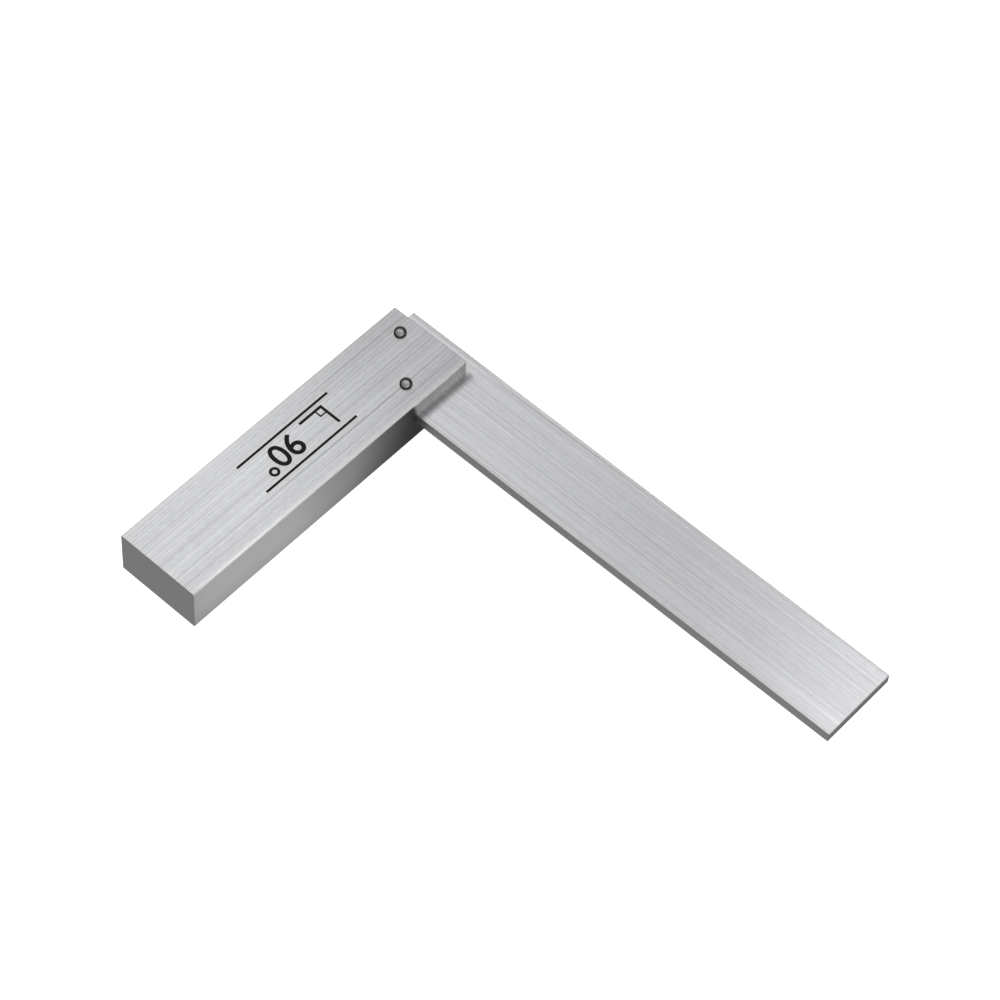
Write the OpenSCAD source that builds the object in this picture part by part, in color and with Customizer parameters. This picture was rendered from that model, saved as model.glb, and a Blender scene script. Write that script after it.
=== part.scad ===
// Wide-base steel square, lying on one side.
// A thin ground blade sits in a slot milled through the end of a thick stock and is held by two rivets.
// The origin is the sharp inner working corner at the resting plane: X = 0 is the fence face of the
// stock, Y = 0 is the inner edge of the blade, and Z = 0 is the underside that the square rests on.
// +X runs along the blade to its tip, and the stock runs along -Y from the joint.

/* [Working size] */
// Nominal blade length, from the back face of the stock to the tip
blade_reach = 125; // [100:1:160]
// Nominal stock length, from the outer edge of the blade to the free end
stock_reach = 80; // [63:1:100]

/* [Stock] */
// Width of the stock, from the back face to the fence face
stock_w = 19.5; // [16:0.5:26]
// Thickness of the stock, from the underside to the top face
stock_t = 11; // [9.5:0.5:16]

/* [Blade] */
// Width of the blade between its two working edges
blade_w = 18.25; // [16:0.25:24]
// Thickness of the blade, and of the slot that it fills
blade_t = 2.5; // [2:0.25:3]
// Height of the blade above the underside of the stock
blade_z = 5.25; // [3:0.25:5.5]
// How far the outer edge of the blade stands past the end of the stock
blade_proud = 3.5; // [1:0.5:5]
// How far the heel of the blade stays short of the back face
heel_setback = 2; // [1:0.5:3]

/* [Rivets] */
// Diameter of a rivet's shank
shank_d = 2; // [1.6:0.1:2.2]
// Diameter of a rivet's round head
head_d = 2.6; // [2.5:0.1:3.4]
// Height of a rivet's round head above the top face
head_h = 1.1; // [0.6:0.1:1.2]
// Diameter of the countersunk tail where it is ground flush with the underside
tail_d = 3.2; // [2.6:0.1:3.6]
// Depth of the countersink that the tail fills
tail_h = 0.6; // [0.4:0.1:1.2]
// Distance of the heel rivet from the back face
heel_rivet_in = 5.2; // [5:0.1:6]
// Distance of the heel rivet from the end of the stock
heel_rivet_down = 4; // [3:0.1:5]
// Distance of the fence rivet from the fence face
fence_rivet_in = 4.9; // [3:0.1:6]
// Distance of the fence rivet from the inner edge of the blade
fence_rivet_up = 2.35; // [2:0.05:3.5]

/* [Edges] */
// Width of the small bevel that breaks every sharp edge
edge_break = 0.2; // [0.1:0.05:0.4]

/* [Hidden] */
$fn = 96;

// Extra reach that carries a cut clear of the surfaces it passes through
clear = 1;
// Depth of the slot, from the end of the stock to the inner edge of the blade
slot_depth = blade_w - blade_proud;
// Y of the stock's free end, and the stock's whole length
free_end_y = blade_w - stock_reach;
stock_len = slot_depth - free_end_y;
// X of the blade's heel, and the blade's whole length
heel_x = heel_setback - stock_w;
blade_len = blade_reach - heel_setback;
// Axes of the two rivets
heel_rivet_at = [heel_rivet_in - stock_w, slot_depth - heel_rivet_down, 0];
fence_rivet_at = [-fence_rivet_in, fence_rivet_up, 0];
rivet_places = [heel_rivet_at, fence_rivet_at];
// Radius of the sphere whose cap makes the round head
dome_r = (pow(head_d / 2, 2) + pow(head_h, 2)) / (2 * head_h);

module broken_rect(size, c) {
    polygon([
        [c, 0], [size.x - c, 0], [size.x, c], [size.x, size.y - c],
        [size.x - c, size.y], [c, size.y], [0, size.y - c], [0, c]
    ]);
}

// A rectangular block with all twelve edges bevelled by c
module broken_block(size, c) {
    intersection() {
        linear_extrude(size.z) broken_rect([size.x, size.y], c);
        translate([0, size.y, 0])
            rotate([90, 0, 0]) linear_extrude(size.y) broken_rect([size.x, size.z], c);
        rotate([90, 0, 90]) linear_extrude(size.x) broken_rect([size.y, size.z], c);
    }
}

// The straight hole for a shank, right through stock and blade
module shank_hole() {
    translate([0, 0, -clear]) cylinder(d = shank_d, h = stock_t + 2 * clear);
}

// The seat for a tail, widest at the underside, which a rivet fills exactly
module tail_cone() {
    cylinder(d1 = tail_d, d2 = shank_d, h = tail_h);
}

// The round head, a spherical cap that stands on the top face
module round_head() {
    intersection() {
        cylinder(d = head_d, h = head_h + clear);
        translate([0, 0, head_h - dome_r]) sphere(r = dome_r);
    }
}

module rivet() {
    cylinder(d = shank_d, h = stock_t);
    tail_cone();
    translate([0, 0, stock_t]) round_head();
}

module stock() {
    color([0.74, 0.75, 0.76])
    difference() {
        translate([-stock_w, free_end_y, 0]) broken_block([stock_w, stock_len, stock_t], edge_break);
        translate([-stock_w - clear, 0, blade_z])
            cube([stock_w + 2 * clear, slot_depth + clear, blade_t]);
        for (place = rivet_places) translate(place) {
            shank_hole();
            tail_cone();
        }
    }
}

module blade() {
    color([0.8, 0.81, 0.82])
    difference() {
        translate([heel_x, 0, blade_z]) broken_block([blade_len, blade_w, blade_t], edge_break);
        for (place = rivet_places) translate(place) shank_hole();
    }
}

module heel_rivet() {
    color([0.3, 0.3, 0.31]) translate(heel_rivet_at) rivet();
}

module fence_rivet() {
    color([0.3, 0.3, 0.31]) translate(fence_rivet_at) rivet();
}

stock();
blade();
heel_rivet();
fence_rivet();
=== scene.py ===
import math

import bmesh
import bpy
from mathutils import Matrix, Vector


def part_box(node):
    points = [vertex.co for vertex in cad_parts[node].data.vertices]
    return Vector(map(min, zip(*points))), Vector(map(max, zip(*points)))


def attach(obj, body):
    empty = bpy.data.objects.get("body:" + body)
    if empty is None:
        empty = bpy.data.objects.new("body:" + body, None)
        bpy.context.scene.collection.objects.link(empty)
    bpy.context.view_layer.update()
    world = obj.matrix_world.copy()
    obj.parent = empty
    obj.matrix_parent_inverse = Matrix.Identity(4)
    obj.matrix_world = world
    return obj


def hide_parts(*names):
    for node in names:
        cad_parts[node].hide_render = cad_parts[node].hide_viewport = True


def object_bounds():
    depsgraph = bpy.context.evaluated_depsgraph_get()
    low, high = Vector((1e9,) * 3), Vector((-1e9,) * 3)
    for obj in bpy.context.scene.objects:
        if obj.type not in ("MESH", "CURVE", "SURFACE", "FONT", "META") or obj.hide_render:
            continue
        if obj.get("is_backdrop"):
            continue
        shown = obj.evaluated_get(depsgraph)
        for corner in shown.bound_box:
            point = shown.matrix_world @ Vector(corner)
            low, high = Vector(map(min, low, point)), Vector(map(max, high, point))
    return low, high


# A wide-base steel square: a slotted stock, a thin blade set in its end, and two round-headed rivets.

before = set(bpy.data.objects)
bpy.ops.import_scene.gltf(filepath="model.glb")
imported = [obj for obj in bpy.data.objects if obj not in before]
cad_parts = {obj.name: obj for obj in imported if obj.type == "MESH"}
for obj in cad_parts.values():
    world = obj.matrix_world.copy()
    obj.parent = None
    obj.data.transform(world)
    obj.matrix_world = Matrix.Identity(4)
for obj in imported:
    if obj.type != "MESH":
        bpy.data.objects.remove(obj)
cad_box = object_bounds()

MM = 0.001
MERGE = 0.001 * MM

STOCK_LO, STOCK_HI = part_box("stock")
BLADE_LO, BLADE_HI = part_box("blade")
RIVET_NAMES = ("heel_rivet", "fence_rivet")
TOP_Z = STOCK_HI.z
EDGE_BREAK = 0.2 * MM
ON_PLANE = 0.001 * MM
SHARP = math.radians(30)


def rivet_axis(node):
    """Where a rivet's axis meets the underside of the stock."""
    lo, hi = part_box(node)
    return Vector(((lo.x + hi.x) / 2, (lo.y + hi.y) / 2, 0))


RIVET_AXES = {node: rivet_axis(node) for node in RIVET_NAMES}
RIVET_LO, RIVET_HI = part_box("heel_rivet")
HEAD_H = RIVET_HI.z - TOP_Z
TAIL_R = (RIVET_HI.x - RIVET_LO.x) / 2
TAIL_H = 0.6 * MM
SHANK_R = 1.0 * MM
HEAD_R = 1.3 * MM


# ---------------------------------------------------------------- meshes and pieces

def link(name, mesh):
    piece = bpy.data.objects.new(name, mesh)
    bpy.context.scene.collection.objects.link(piece)
    return piece


def piece_from(name, bm):
    """Turns a finished bmesh into an object at the origin, smooth shaded."""
    bmesh.ops.recalc_face_normals(bm, faces=bm.faces)
    mesh = bpy.data.meshes.new(name)
    for face in bm.faces:
        face.smooth = True
    bm.to_mesh(mesh)
    bm.free()
    return link(name, mesh)


def closed_solid(bm, start, end):
    """A closed solid between two matching rings of points, its faces always made in the same order."""
    low = [bm.verts.new(point) for point in start]
    high = [bm.verts.new(point) for point in end]
    bm.faces.new(reversed(low))
    bm.faces.new(high)
    for i in range(len(low)):
        j = (i + 1) % len(low)
        bm.faces.new((low[i], low[j], high[j], high[i]))


def prism(name, outline, axis_lo, axis_hi):
    """A straight bar along X whose cross-section is a closed (y, z) outline."""
    bm = bmesh.new()
    closed_solid(bm, [(axis_lo, y, z) for y, z in outline], [(axis_hi, y, z) for y, z in outline])
    return piece_from(name, bm)


def apply_stack(piece):
    """Replaces a piece's mesh with what its modifiers make of it."""
    bpy.context.view_layer.update()
    graph = bpy.context.evaluated_depsgraph_get()
    finished = bpy.data.meshes.new_from_object(piece.evaluated_get(graph))
    piece.modifiers.clear()
    old, piece.data = piece.data, finished
    bpy.data.meshes.remove(old)
    return piece


def place(piece, matrix):
    piece.data.transform(matrix)
    piece.data.update()
    return piece


def turned(name, profile, steps):
    """A solid of revolution about Z from an (r, z) profile that runs from top to bottom."""
    mesh = bpy.data.meshes.new(name)
    points = [(r, 0, z) for r, z in profile]
    mesh.from_pydata(points, [(i, i + 1) for i in range(len(points) - 1)], [])
    piece = link(name, mesh)
    screw = piece.modifiers.new("turning", "SCREW")
    screw.steps = screw.render_steps = steps
    screw.use_merge_vertices = True
    screw.merge_threshold = 0.004 * MM
    screw.use_smooth_shade = True
    return piece


def arc(centre_z, radius, start, end, steps):
    """Points of a circular arc in the (r, z) plane, angles in degrees up from the r axis."""
    angles = [math.radians(start + (end - start) * i / steps) for i in range(steps + 1)]
    return [(radius * math.cos(a), centre_z + radius * math.sin(a)) for a in angles]


def cut(piece, cutter):
    """Cuts a helper solid out of a piece and removes the helper."""
    knife = piece.modifiers.new("cut", "BOOLEAN")
    knife.operation = "DIFFERENCE"
    knife.solver = "EXACT"
    knife.object = cutter
    apply_stack(piece)
    bpy.data.objects.remove(cutter)


def drill_rivet_holes(piece):
    """The two rivet holes, each with the countersink at the underside that the tail fills."""
    for node, axis in RIVET_AXES.items():
        reach = 1 * MM
        profile = [
            (0, TOP_Z + reach),
            (SHANK_R, TOP_Z + reach),
            (SHANK_R, TAIL_H),
            (TAIL_R, 0),
            (TAIL_R, -reach),
            (0, -reach),
        ]
        drill = apply_stack(turned(f"{node}_drill", profile, 64))
        cut(piece, place(drill, Matrix.Translation(axis)))


def break_edges(piece, planes, weigh):
    """Marks the straight outer edges for bevelling, and every other corner as sharp.

    planes holds the x, y and z values of the piece's flat faces. weigh gives an edge's share of the
    full bevel from its midpoint.
    """
    bm = bmesh.new()
    bm.from_mesh(piece.data)
    share = bm.edges.layers.float.new("bevel_weight_edge")
    for edge in bm.edges:
        middle = (edge.verts[0].co + edge.verts[1].co) / 2
        flat = sum(any(abs(middle[i] - p) < ON_PLANE for p in planes[i]) for i in range(3))
        corner = len(edge.link_faces) == 2 and edge.calc_face_angle(0) > SHARP
        if corner and flat >= 2:
            edge[share] = weigh(middle)
        if corner and not edge[share]:
            edge.smooth = False
    bm.to_mesh(piece.data)
    bm.free()
    bevel = piece.modifiers.new("edge break", "BEVEL")
    bevel.width = EDGE_BREAK
    bevel.segments = 3
    bevel.limit_method = "WEIGHT"
    bevel.harden_normals = True
    bevel.use_clamp_overlap = False


def make_stock():
    """The thick bar with a slot through its joint end, drilled for the rivets."""
    slot = (BLADE_LO.z, BLADE_HI.z)
    outline = [
        (STOCK_LO.y, STOCK_LO.z),
        (STOCK_HI.y, STOCK_LO.z),
        (STOCK_HI.y, slot[0]),
        (BLADE_LO.y, slot[0]),
        (BLADE_LO.y, slot[1]),
        (STOCK_HI.y, slot[1]),
        (STOCK_HI.y, STOCK_HI.z),
        (STOCK_LO.y, STOCK_HI.z),
    ]
    stock = prism("ground_stock", outline, STOCK_LO.x, STOCK_HI.x)
    drill_rivet_holes(stock)

    def weigh(middle):
        in_slot = any(abs(middle.z - z) < ON_PLANE for z in slot) and middle.y > BLADE_LO.y - ON_PLANE
        if not in_slot:
            return 1.0
        at_root = abs(middle.y - BLADE_LO.y) < ON_PLANE
        return 0.0 if at_root else 0.3

    planes = (
        (STOCK_LO.x, STOCK_HI.x),
        (STOCK_LO.y, BLADE_LO.y, STOCK_HI.y),
        (STOCK_LO.z, STOCK_HI.z, *slot),
    )
    break_edges(stock, planes, weigh)
    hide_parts("stock")
    return stock


def make_blade():
    """The thin plate, drilled for the rivets, with all its edges broken alike."""
    outline = [
        (BLADE_LO.y, BLADE_LO.z),
        (BLADE_HI.y, BLADE_LO.z),
        (BLADE_HI.y, BLADE_HI.z),
        (BLADE_LO.y, BLADE_HI.z),
    ]
    blade = prism("ground_blade", outline, BLADE_LO.x, BLADE_HI.x)
    drill_rivet_holes(blade)
    planes = tuple((BLADE_LO[i], BLADE_HI[i]) for i in range(3))
    break_edges(blade, planes, lambda middle: 0.75)
    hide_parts("blade")
    return blade


def head_profile(steps):
    """A full round head: flatter on the crown and steeper at the rim than a plain arc."""
    fullness = 2.6
    points = []
    for i in range(steps + 1):
        angle = math.pi / 2 * (1 - i / steps)
        r = HEAD_R * math.cos(angle) ** (2 / fullness)
        z = HEAD_H * math.sin(angle) ** (2 / fullness)
        points.append((r if i else 0, TOP_Z + (z if i < steps else 0)))
    return points


def make_rivet(node):
    """A round-headed rivet: domed head, straight shank, and a tail set into the countersink."""
    seam = 0.03 * MM
    profile = [
        *head_profile(18),
        (SHANK_R, TOP_Z),
        (SHANK_R, TAIL_H),
        (TAIL_R - seam, seam),
        (TAIL_R - 3 * seam, 0),
        (0, 0),
    ]
    rivet = apply_stack(turned(f"turned_{node}", profile, 72))
    place(rivet, Matrix.Translation(RIVET_AXES[node]))
    rivet.data.set_sharp_from_angle(angle=SHARP)
    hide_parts(node)
    return rivet


# ---------------------------------------------------------------- etched mark

MARK_MIDDLE = Vector((-10.6 * MM, -22.6 * MM, TOP_Z))
MARK_DEPTH = 0.012 * MM


def mark_place(along):
    """Turns a flat mark so that it reads towards the free end, its top towards the fence."""
    turn = Matrix.Rotation(math.radians(-90), 4, "Z")
    return Matrix.Translation(MARK_MIDDLE - Vector((0, along, 0))) @ turn


def close_seams(mesh):
    """Joins the front, back and sides of extruded text into closed shells that face outward."""
    bm = bmesh.new()
    bm.from_mesh(mesh)
    bmesh.ops.remove_doubles(bm, verts=bm.verts, dist=MERGE)
    bmesh.ops.recalc_face_normals(bm, faces=bm.faces)
    bm.to_mesh(mesh)
    bm.free()


def make_numerals(text, size, along):
    """Etched numerals as a thin raised film, centred where they are placed."""
    curve = bpy.data.curves.new("numerals", "FONT")
    curve.body = text
    curve.size = size
    curve.extrude = MARK_DEPTH
    curve.offset = 0.014 * size
    curve.resolution_u = 8
    holder = bpy.data.objects.new("numerals", curve)
    bpy.context.scene.collection.objects.link(holder)
    bpy.context.view_layer.update()
    graph = bpy.context.evaluated_depsgraph_get()
    mesh = bpy.data.meshes.new_from_object(holder.evaluated_get(graph))
    bpy.data.objects.remove(holder)
    xs = [v.co.x for v in mesh.vertices]
    ys = [v.co.y for v in mesh.vertices]
    middle = Vector(((min(xs) + max(xs)) / 2, (min(ys) + max(ys)) / 2, 0))
    mesh.transform(Matrix.Translation(-middle))
    close_seams(mesh)
    piece = link("etched_numerals", mesh)
    place(piece, mark_place(along))
    return piece


def etched_film(name, outlines, along):
    """A mark made of flat closed outlines, each a thin film on the top face."""
    bm = bmesh.new()
    for outline in outlines:
        closed_solid(bm, *([(x, y, z) for x, y in outline] for z in (-MARK_DEPTH, MARK_DEPTH)))
    piece = piece_from(name, bm)
    for face in piece.data.polygons:
        face.use_smooth = False
    place(piece, mark_place(along))
    return piece


def corner_outline(inner, outer, ends):
    """An L whose corner runs from inner to outer along the diagonal and whose two arms stop at ends."""
    x, y = ends
    return [outer, (x, outer[1]), (x, inner[1]), inner, (inner[0], y), (outer[0], y)]


def make_angle_sign(along):
    """A right-angle sign: two legs and the small square in their corner."""
    leg, half, low = 6.0 * MM, 0.31 * MM, -2.6 * MM
    box, thin = leg * 0.28, 0.17 * MM
    legs = corner_outline((half, low + half), (-half, low - half), (leg, low + leg * 0.87))
    inner, outer = (box - thin, low + box - thin), (box + thin, low + box + thin)
    square = corner_outline(inner, outer, (half, low + half))
    return etched_film("etched_angle_sign", [legs, square], along)


def make_rules():
    """The two plain lines that frame the mark."""
    long, gap, half = 12.6 * MM, 4.0 * MM, 0.275 * MM
    lines = []
    for y in (-gap, gap):
        lines.append([(-long, y - half), (long, y - half), (long, y + half), (-long, y + half)])
    return etched_film("etched_rules", lines, 0)


# ---------------------------------------------------------------- materials

class Shader:
    """A material's node tree, with short calls for the nodes it needs."""

    def __init__(self, name):
        self.material = bpy.data.materials.new(name)
        self.material.use_nodes = True
        self.tree = self.material.node_tree
        self.surface = self.tree.nodes["Principled BSDF"]
        self.coords = self.tree.nodes.new("ShaderNodeTexCoord")

    def join(self, source, target):
        self.tree.links.new(source, target)

    def feed(self, socket, value):
        if isinstance(value, bpy.types.NodeSocket):
            self.join(value, socket)
        else:
            socket.default_value = value

    def mapped(self, scale, shift=(0, 0, 0)):
        """Object coordinates, shifted and then stretched."""
        node = self.tree.nodes.new("ShaderNodeMapping")
        node.vector_type = "POINT"
        node.inputs["Scale"].default_value = scale
        node.inputs["Location"].default_value = [-s * k for s, k in zip(shift, scale)]
        self.join(self.coords.outputs["Object"], node.inputs["Vector"])
        return node.outputs["Vector"]

    def noise(self, vector, detail=2.0, roughness=0.5):
        node = self.tree.nodes.new("ShaderNodeTexNoise")
        node.inputs["Scale"].default_value = 1.0
        node.inputs["Detail"].default_value = detail
        node.inputs["Roughness"].default_value = roughness
        self.join(vector, node.inputs["Vector"])
        return node.outputs["Fac"]

    def math(self, operation, a, b=0.0, c=0.0):
        node = self.tree.nodes.new("ShaderNodeMath")
        node.operation = operation
        for socket, value in zip(node.inputs, (a, b, c)):
            self.feed(socket, value)
        return node.outputs[0]

    def ramp(self, value, stops, interpolation="LINEAR"):
        """A ramp of (position, grey level) stops."""
        node = self.tree.nodes.new("ShaderNodeValToRGB")
        node.color_ramp.interpolation = interpolation
        while len(node.color_ramp.elements) < len(stops):
            node.color_ramp.elements.new(0.5)
        for element, (position, level) in zip(node.color_ramp.elements, stops):
            element.position = position
            element.color = (level, level, level, 1)
        self.feed(node.inputs["Fac"], value)
        return node.outputs["Color"]

    def tint(self, value, dark, light):
        """A colour between dark and light as value goes from 0 to 1."""
        node = self.tree.nodes.new("ShaderNodeMix")
        node.data_type = "RGBA"
        node.clamp_factor = True
        self.feed(node.inputs["Factor"], value)
        node.inputs[6].default_value = (*dark, 1)
        node.inputs[7].default_value = (*light, 1)
        return node.outputs[2]

    def scaled(self, colour, factor):
        node = self.tree.nodes.new("ShaderNodeVectorMath")
        node.operation = "SCALE"
        self.join(colour, node.inputs[0])
        self.feed(node.inputs["Scale"], factor)
        return node.outputs["Vector"]

    def product(self, a, b):
        node = self.tree.nodes.new("ShaderNodeVectorMath")
        node.operation = "MULTIPLY"
        self.join(a, node.inputs[0])
        self.join(b, node.inputs[1])
        return node.outputs["Vector"]

    def part(self, vector, axis):
        node = self.tree.nodes.new("ShaderNodeSeparateXYZ")
        self.join(vector, node.inputs[0])
        return node.outputs["XYZ".index(axis)]

    def bump(self, height, strength, distance):
        node = self.tree.nodes.new("ShaderNodeBump")
        node.inputs["Strength"].default_value = strength
        node.inputs["Distance"].default_value = distance
        self.feed(node.inputs["Height"], height)
        self.join(node.outputs["Normal"], self.surface.inputs["Normal"])


def lines_along(axis, along, across):
    """Mapping scale for marks that are long along one axis and fine across it, sizes in metres."""
    return tuple(1 / along if a == axis else 1 / across for a in "XYZ")


def brush_tangent(s, axis):
    """Spreads highlights across the grinding lines: sideways on top, upwards on the edges."""
    node = s.tree.nodes.new("ShaderNodeCombineXYZ")
    node.inputs["X"].default_value = 1.0 if axis == "Y" else 0.0
    node.inputs["Y"].default_value = 1.0 if axis == "X" else 0.0
    node.inputs["Z"].default_value = 0.5
    s.join(node.outputs["Vector"], s.surface.inputs["Tangent"])


def facing(s, axis):
    """How squarely the surface faces along an axis, from 0 to 1 whichever way it points."""
    return s.math("ABSOLUTE", s.part(s.coords.outputs["Normal"], axis))


def hairlines(s, axis, spacing, width, seed):
    """Thin scores that run nearly the full length and fade in and out, from 0 to 1."""
    wander = s.noise(s.mapped(lines_along(axis, 900 * MM, spacing), (seed, seed, seed)), 1, 0.5)
    off_line = s.math("ABSOLUTE", s.math("SUBTRACT", wander, 0.5))
    line = s.ramp(off_line, [(0, 1), (width, 0)])
    where = s.noise(s.mapped(lines_along(axis, 45 * MM, spacing * 0.6), (0, seed, 0)), 2, 0.6)
    return s.math("MULTIPLY", line, s.ramp(where, [(0.36, 0), (0.54, 1)]))


def line_tone(s, axis, seed, broad):
    """Tone of the grinding lines around zero: fine lines, flecks, wider bands, clouds and hairlines."""
    fine = s.noise(s.mapped(lines_along(axis, 160 * MM, 0.15 * MM), (seed, 0, 0)), 1, 0.5)
    fleck = s.noise(s.mapped(lines_along(axis, 1.6 * MM, 0.20 * MM), (seed, seed, 0)), 2, 0.6)
    bands = s.noise(s.mapped(lines_along(axis, 200 * MM, 1.9 * MM), (0, seed, seed)), 2, 0.5)
    clouds = s.noise(s.mapped((1 / (14 * MM),) * 3, (seed, seed, 0)), 2, 0.5)
    dark = hairlines(s, axis, 1.2 * MM, 0.011, seed)
    dark = s.math("MAXIMUM", dark, hairlines(s, axis, 2.8 * MM, 0.006, seed + 0.2))
    light = hairlines(s, axis, 1.7 * MM, 0.008, seed + 0.4)

    lines = s.math("MULTIPLY", s.math("SUBTRACT", fine, 0.5), 1.15)
    lines = s.math("MULTIPLY_ADD", s.math("SUBTRACT", fleck, 0.5), 0.6, lines)
    lines = s.math("MULTIPLY_ADD", light, 0.42, lines)
    lines = s.math("MULTIPLY_ADD", dark, -0.56, lines)
    lines = s.math("MULTIPLY", lines, broad)
    tone = s.math("MULTIPLY_ADD", s.math("SUBTRACT", bands, 0.5), 0.05, lines)
    tone = s.math("MULTIPLY_ADD", s.math("SUBTRACT", clouds, 0.5), 0.12, tone)
    relief = s.math("MULTIPLY", s.math("MULTIPLY_ADD", dark, -0.8, fine), broad)
    return tone, relief, fine


def edge_wear(s):
    """Bright rubbed metal in a narrow, uneven line along the edges."""
    rounded = s.tree.nodes.new("ShaderNodeBevel")
    rounded.samples = 4
    rounded.inputs["Radius"].default_value = 0.22 * MM
    flat = s.tree.nodes.new("ShaderNodeNewGeometry")
    match = s.tree.nodes.new("ShaderNodeVectorMath")
    match.operation = "DOT_PRODUCT"
    s.join(rounded.outputs["Normal"], match.inputs[0])
    s.join(flat.outputs["Normal"], match.inputs[1])
    rub = s.noise(s.mapped((1 / (1.3 * MM),) * 3), 3, 0.7)
    edge = s.ramp(match.outputs["Value"], [(0.90, 1), (0.995, 0)])
    return s.math("MULTIPLY", edge, s.ramp(rub, [(0.35, 0.2), (0.65, 1)]))


def ground_steel(name, axis, tone_mid, contrast, seed, shade):
    """Surface-ground steel with grinding lines along one axis.

    tone_mid is the steel's average tone and contrast the strength of its lines. shade makes a socket
    that scales its colour from place to place: painted shade, painted shadow and painted highlight.
    """
    s = Shader(name)
    broad = s.ramp(facing(s, "Z"), [(0.6, 0.12), (0.95, 1)])
    tone, relief, fine = line_tone(s, axis, seed, broad)
    factor = s.math("MULTIPLY_ADD", tone, contrast, 0.5)
    factor = s.math("MULTIPLY_ADD", edge_wear(s), 0.14, factor)
    colour = s.tint(factor, [tone_mid * 0.64] * 3, [tone_mid * 1.36] * 3)
    colour = s.product(colour, s.tint(broad, (1, 1, 1), (0.99, 1.0, 1.022)))
    # Painted light and shade from shade() scale the base colour.
    s.join(s.scaled(colour, shade(s)), s.surface.inputs["Base Color"])

    side_rough = s.math("MULTIPLY_ADD", broad, -0.12, 0.39)
    s.join(s.math("MULTIPLY_ADD", fine, 0.10, side_rough), s.surface.inputs["Roughness"])
    s.surface.inputs["Metallic"].default_value = 1.0
    s.surface.inputs["Anisotropic"].default_value = 0.6
    brush_tangent(s, axis)
    s.bump(relief, 0.12, 0.01 * MM)
    return s.material


def stock_shade(s):
    """Painted shade: the stock darkens a little towards the joint, and strongly on the fence where it
    meets the blade.

    The jaw face above the blade is lightened as a painted highlight.
    """
    spot = s.coords.outputs["Object"]
    x, y, z = (s.part(spot, axis) for axis in "XYZ")
    length = STOCK_HI.y - STOCK_LO.y

    def at(y_mm):
        return (y_mm * MM - STOCK_LO.y) / length

    def along(value, stops):
        share = s.math("DIVIDE", s.math("SUBTRACT", value, STOCK_LO.y), length)
        return s.ramp(share, [(at(y_mm), level) for y_mm, level in stops])

    # Painted shade: darker towards the joint on all but the fence, and on the fence strongly towards
    # the blade.
    body = along(y, [(-34, 0.985), (-8, 0.93), (12, 0.86)])
    throat_shade = along(y, [(-34, 1), (-18, 0.86), (-9.5, 0.46), (-3.5, 0.2), (-0.02, 0.12)])
    # Painted highlight on the jaw face above the blade, bounded by a slanted edge of painted shade.
    slant = s.math("MULTIPLY_ADD", s.math("SUBTRACT", z, TOP_Z), 0.26, y)
    jaw = along(slant, [(-1, 0), (-0.1, 1.12), (4, 1.13), (8, 1.28), (12, 1.28), (14, 1)])
    jaw = s.math("MULTIPLY", jaw, s.math("GREATER_THAN", z, BLADE_HI.z))
    # Painted shade along the lower edge of the fence.
    foot_shade = s.ramp(s.math("DIVIDE", z, TOP_Z), [(0.05, 0.86), (0.4, 1)])
    fence = s.ramp(facing(s, "X"), [(0.6, 0), (0.8, 1)])
    on_fence = s.math("MULTIPLY", fence, s.math("GREATER_THAN", x, -1 * MM))
    fence_tone = s.math("MAXIMUM", s.math("MULTIPLY", throat_shade, foot_shade), jaw)
    side = s.math("MULTIPLY_ADD", on_fence, s.math("SUBTRACT", fence_tone, 1), 1)
    return s.math("MULTIPLY", side, s.math("MAXIMUM", body, fence))


def blade_shade(s):
    """Painted shadow of the stock's upper jaw on the blade beside the stock, a lighter band and a
    darker rim along the outer edge near the heel, and painted shade on the end faces.
    """
    spot = s.coords.outputs["Object"]
    x, y = s.part(spot, "X"), s.part(spot, "Y")
    top = s.ramp(facing(s, "Z"), [(0.6, 0), (0.8, 1)])

    # Painted shadow of the stock's upper jaw on the blade top beside the fence, its edge wobbled by
    # noise.
    shadow_edge_wobble = s.noise(s.mapped((1 / (0.9 * MM),) * 3), 2, 0.6)
    reach = s.math("MULTIPLY_ADD", s.math("SUBTRACT", shadow_edge_wobble, 0.5), 0.25 * MM, x)
    film = [(0.05, 0.07), (0.2, 0.38), (0.33, 0.5), (0.45, 0.38), (0.58, 0.12), (0.7, 0)]
    corner = s.ramp(s.math("DIVIDE", reach, 4 * MM), film)
    beside = s.ramp(s.math("DIVIDE", y, BLADE_HI.y), [(0.795, 1), (0.835, 0)])
    painted_shadow = s.math("MULTIPLY", s.math("MULTIPLY", corner, beside), top)

    rim = s.math("DIVIDE", s.math("SUBTRACT", BLADE_HI.y, y), 2 * MM)
    strip = s.ramp(rim, [(0.30, 0), (0.50, 1), (0.90, 1), (1.0, 0.66)])
    strip = s.math("MULTIPLY_ADD", strip, 0.24, -0.16)
    near_heel = s.ramp(s.math("DIVIDE", x, 10 * MM), [(0.0, 1), (0.8, 0)])
    strip = s.math("MULTIPLY", s.math("MULTIPLY", strip, near_heel), top)

    # Painted shade on the blade's end faces.
    end = s.ramp(facing(s, "X"), [(0.6, 0), (0.8, 1)])
    shade = s.math("ADD", s.math("SUBTRACT", 1, painted_shadow), strip)
    return s.math("MULTIPLY", shade, s.math("MULTIPLY_ADD", end, -0.34, 1))


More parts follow.
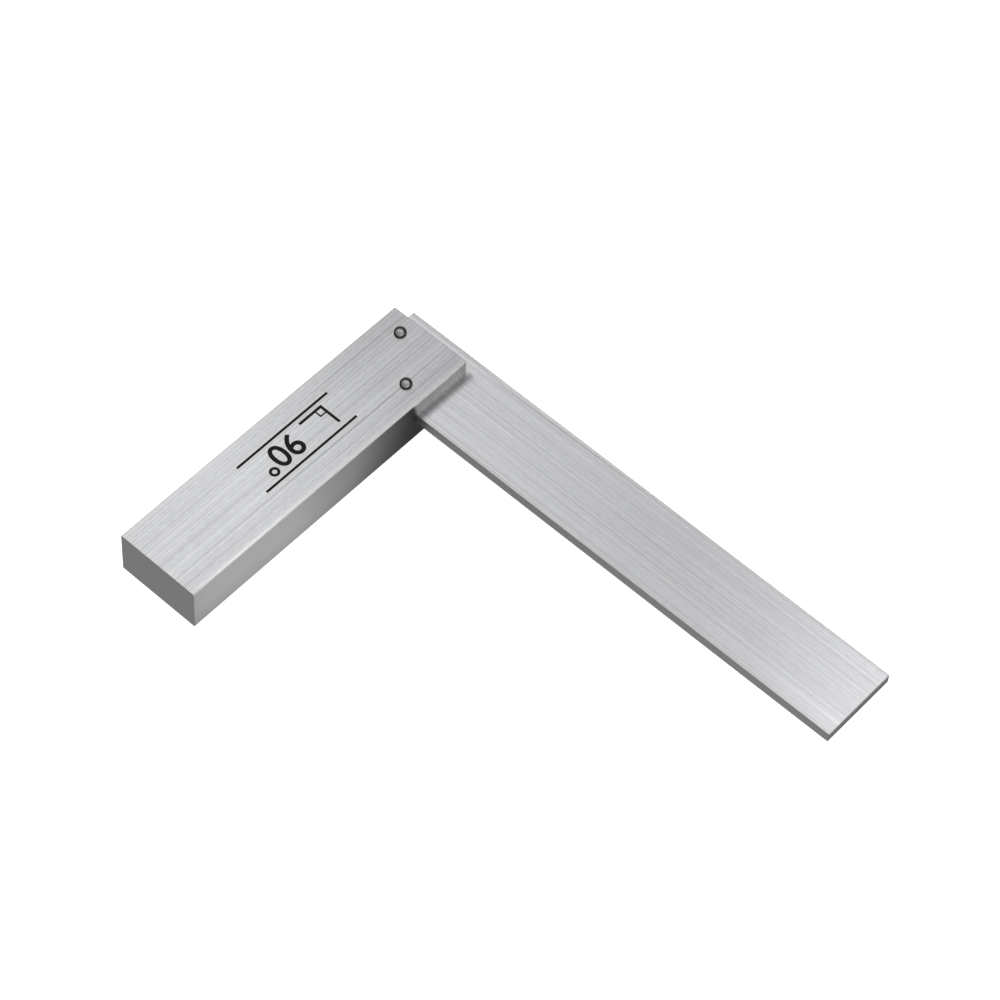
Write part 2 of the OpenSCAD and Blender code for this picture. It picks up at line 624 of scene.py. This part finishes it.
def rivet_steel(name, axis_point):
    """Rivet steel painted dark, with a painted highlight: a bright patch on the side of the dome that
    faces the camera, so the rest of the dome reads as a dark rim of painted shade.
    """
    s = Shader(name)
    dome_r = (HEAD_R**2 + HEAD_H**2) / (2 * HEAD_H)
    middle = axis_point + Vector((0, 0, TOP_Z + HEAD_H - dome_r))
    towards = s.tree.nodes.new("ShaderNodeVectorMath")
    towards.operation = "NORMALIZE"
    s.join(s.mapped((1, 1, 1), middle), towards.inputs[0])
    # The painted highlight is centred on the side of the dome that faces the camera.
    rubbed = s.tree.nodes.new("ShaderNodeVectorMath")
    rubbed.operation = "DOT_PRODUCT"
    rubbed.inputs[1].default_value = Vector((0.23, -0.44, 0.87)).normalized()
    s.join(towards.outputs["Vector"], rubbed.inputs[0])
    mottle = s.noise(s.mapped((1 / (0.25 * MM),) * 3), 3, 0.6)
    reach = s.math("MULTIPLY_ADD", s.math("SUBTRACT", mottle, 0.5), 0.10, rubbed.outputs["Value"])
    painted_highlight = s.ramp(reach, [(0.77, 0), (0.89, 1)], "EASE")
    s.join(s.tint(painted_highlight, (0.075, 0.075, 0.078), (0.50, 0.50, 0.51)), s.surface.inputs["Base Color"])
    s.join(s.math("MULTIPLY_ADD", mottle, 0.2, 0.42), s.surface.inputs["Roughness"])
    s.surface.inputs["Metallic"].default_value = 1.0
    s.bump(mottle, 0.3, 0.01 * MM)
    return s.material


def etched_black():
    """Matt black etch, a little uneven where the steel shows through."""
    s = Shader("etched black")
    speck = s.noise(s.mapped((1 / (0.3 * MM),) * 3), 3, 0.7)
    s.join(s.tint(speck, (0.003, 0.003, 0.003), (0.014, 0.014, 0.015)), s.surface.inputs["Base Color"])
    s.join(s.math("MULTIPLY_ADD", speck, 0.2, 0.5), s.surface.inputs["Roughness"])
    s.surface.inputs["Specular IOR Level"].default_value = 0.14
    s.bump(speck, 0.2, 0.005 * MM)
    return s.material


# ---------------------------------------------------------------- studio

def aim(obj, place_at, target, roll=0.0):
    back = (Vector(place_at) - Vector(target)).normalized()
    turn = back.to_track_quat("Z", "Y").to_matrix().to_4x4()
    turn = turn @ Matrix.Rotation(math.radians(roll), 4, "Z")
    obj.matrix_world = Matrix.Translation(place_at) @ turn


def softbox(name, centre, size, brightness, target=None):
    """An area light, lengths in millimetres: it faces its target, or the table when it has none."""
    light = bpy.data.lights.new(name, "AREA")
    light.shape = "RECTANGLE"
    light.size, light.size_y = (side * MM for side in size)
    light.energy = math.pi * light.size * light.size_y * brightness
    lamp = bpy.data.objects.new(name, light)
    lamp.visible_camera = False
    bpy.context.scene.collection.objects.link(lamp)
    centre = Vector(centre) * MM
    aim(lamp, centre, Vector(target) * MM if target else Vector((centre.x, centre.y, 0)))
    return lamp


def make_camera():
    """Looks down on the square from the free end's side, with a long lens."""
    azimuth, elevation, roll = math.radians(38.06), math.radians(55.71), 4.98
    distance = 709.85 * MM
    target = Vector((24.85, -2.54, 6.0)) * MM
    back = Vector((
        math.sin(azimuth) * math.cos(elevation),
        -math.cos(azimuth) * math.cos(elevation),
        math.sin(elevation),
    ))
    camera = bpy.data.cameras.new("camera")
    camera.sensor_width = 36
    camera.lens = 131.3
    camera.clip_start = 0.01
    camera.clip_end = 20
    holder = bpy.data.objects.new("camera", camera)
    bpy.context.scene.collection.objects.link(holder)
    aim(holder, target + back * distance, target, roll)
    bpy.context.scene.camera = holder


def white_surface(name, base, glow):
    s = Shader(name)
    s.surface.inputs["Base Color"].default_value = (base, base, base, 1)
    s.surface.inputs["Roughness"].default_value = 0.9
    s.surface.inputs["Emission Color"].default_value = (1, 1, 1, 1)
    s.surface.inputs["Emission Strength"].default_value = glow
    s.material.cycles.emission_sampling = "NONE"
    return s.material


def make_floor():
    """A backlit white table, with a white wall sweeping up from its rim all round.

    Both glow, so the square's shadow on the table stays faint. The steel doesn't mirror them, and its
    edges show the grey of the room instead.
    """
    reach, curve, height = 2.4, 0.6, 2.6
    sweep = [(reach + r, z) for r, z in arc(curve, curve, 0, -90, 12)]
    table = turned("floor", [(reach, 0), (0, 0)], 96)
    wall = turned("wall", [(reach + curve, height), *sweep], 96)
    paint = (white_surface("white table", 0.9, 0.78), white_surface("white wall", 0.02, 1.0))
    for stage, material in zip((table, wall), paint):
        apply_stack(stage)
        stage.data.materials.append(material)
        stage.visible_glossy = False
        stage.visible_shadow = False
        stage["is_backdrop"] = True


def make_room():
    room = bpy.data.worlds.new("grey room")
    room.use_nodes = True
    room.node_tree.nodes["Background"].inputs["Color"].default_value = (1, 1, 1, 1)
    room.node_tree.nodes["Background"].inputs["Strength"].default_value = 0.328
    bpy.context.scene.world = room
    bpy.context.scene.view_settings.view_transform = "Standard"


def make_lights():
    """Softboxes overhead and all round, and a bounce light below the table for the fence."""
    softbox("wide softbox", (-126, 259, 420), (560, 380), 0.62)
    softbox("softbox over the free end", (-160, 33, 300), (200, 207), 0.61)
    softbox("softbox over the blade tip", (52, 176, 300), (90, 240), 1.05)
    softbox("fill softbox on the near side", (700, -620, 330), (700, 500), 0.9, target=(0, 0, 0))
    softbox("fill softbox on the far side", (-900, 950, 400), (900, 420), 0.8, target=(0, 0, 0))
    softbox("bounce light for the fence", (45, 3, -100), (70, 46), 0.66)
    softbox("low softbox past the blade tip", (620, 150, 110), (700, 220), 2.7, target=(0, 50, 10))


# ---------------------------------------------------------------- assembly

def finish_piece(piece, material):
    piece.data.materials.clear()
    piece.data.materials.append(material)
    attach(piece, "root")


finish_piece(make_stock(), ground_steel("ground stock steel", "Y", 0.56, 1.02, 1.9, stock_shade))
finish_piece(make_blade(), ground_steel("ground blade steel", "X", 0.57, 0.80, 0.7, blade_shade))
for node in RIVET_NAMES:
    finish_piece(make_rivet(node), rivet_steel(f"worn {node} steel", RIVET_AXES[node]))

etch = etched_black()
finish_piece(make_rules(), etch)
finish_piece(make_angle_sign(-9.3 * MM), etch)
finish_piece(make_numerals("90°", 7.6 * MM, 4.2 * MM), etch)

make_floor()
make_room()
make_lights()
make_camera()

boxes = {"cad": cad_box, "visual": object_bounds()}
{name: [list(corner) for corner in box] for name, box in boxes.items()}
